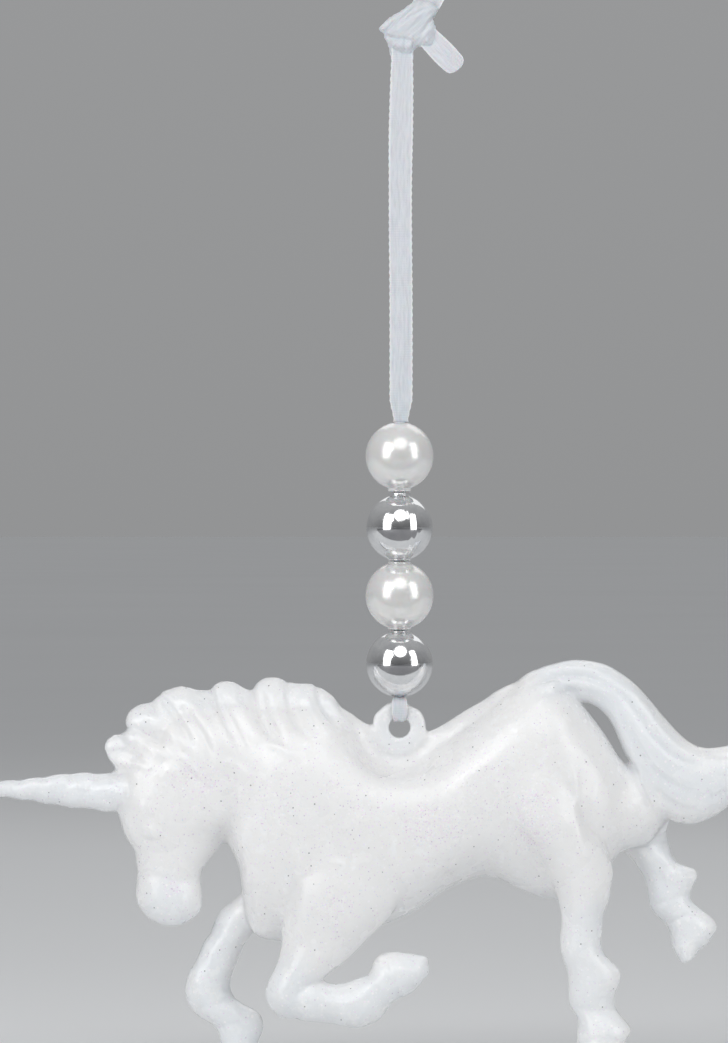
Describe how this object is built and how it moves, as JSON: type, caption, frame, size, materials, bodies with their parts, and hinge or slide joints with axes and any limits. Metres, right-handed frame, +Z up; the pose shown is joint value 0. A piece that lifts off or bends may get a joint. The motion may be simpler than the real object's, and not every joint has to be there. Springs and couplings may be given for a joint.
{
  "type": "hanging unicorn ornament",
  "caption": "Running unicorn ornament in opal plastic, hung by an eye on its back from a satin ribbon loop threaded through pearl and silver beads.",
  "frame": {"origin": "point inside the top of the ribbon loop, just under the knot, where a hook carries the ornament", "axes": "+Z up along the hanging ribbon; +X from the unicorn's head to its tail; +Y through the figure, away from the side with the folded foreleg"},
  "size_m": [0.1197, 0.0201, 0.1642],
  "materials": {
    "opal_plastic": "glossy, milky and slightly translucent, with fine iridescent glitter",
    "pearl_coat": "pearlescent coat, soft gloss",
    "silver_plate": "bright silver plating with fine scratches",
    "satin_ribbon": "white satin weave with a fine edge"
  },
  "bodies": {
    "hanger": {"ribbon_knot": "satin_ribbon", "ribbon_tail_low": "satin_ribbon", "ribbon_tail_high": "satin_ribbon", "ribbon_front_strand": "satin_ribbon", "ribbon_back_strand": "satin_ribbon"},
    "threaded_ribbon": {"ribbon_threaded": "satin_ribbon", "ribbon_eyelet_turn": "satin_ribbon"},
    "unicorn": {"body_near_half": "opal_plastic", "body_far_half": "opal_plastic"},
    "bead_pearl_upper": {"bead_pearl_upper": "pearl_coat"},
    "bead_silver_upper": {"bead_silver_upper": "silver_plate"},
    "bead_pearl_lower": {"bead_pearl_lower": "pearl_coat"},
    "bead_silver_lower": {"bead_silver_lower": "silver_plate"}
  },
  "joints": [
    {"name": "ribbon_twist", "type": "hinge", "parent": "hanger", "child": "threaded_ribbon", "pos_m": [0, 0, -0.0547], "axis": [0, 0, 1], "range_deg": [-180, 180], "deforming": ["ribbon_front_strand", "ribbon_back_strand"]},
    {"name": "figure_tilt", "type": "hinge", "parent": "threaded_ribbon", "child": "unicorn", "pos_m": [0, 0, -0.09954], "axis": [0, 1, 0], "range_deg": [-40, 28]},
    {"name": "bead_silver_lower_slide", "type": "slide", "parent": "threaded_ribbon", "child": "bead_silver_lower", "axis": [0, 0, 1], "range_m": [0, 0.011], "deforming": ["ribbon_front_strand", "ribbon_back_strand"]},
    {"name": "bead_pearl_lower_slide", "type": "slide", "parent": "bead_silver_lower", "child": "bead_pearl_lower", "axis": [0, 0, 1], "range_m": [0, 0.011], "deforming": ["ribbon_front_strand", "ribbon_back_strand"]},
    {"name": "bead_silver_upper_slide", "type": "slide", "parent": "bead_pearl_lower", "child": "bead_silver_upper", "axis": [0, 0, 1], "range_m": [0, 0.011], "deforming": ["ribbon_front_strand", "ribbon_back_strand"]},
    {"name": "bead_pearl_upper_slide", "type": "slide", "parent": "bead_silver_upper", "child": "bead_pearl_upper", "axis": [0, 0, 1], "range_m": [0, 0.011], "deforming": ["ribbon_front_strand", "ribbon_back_strand"]}
  ]
}
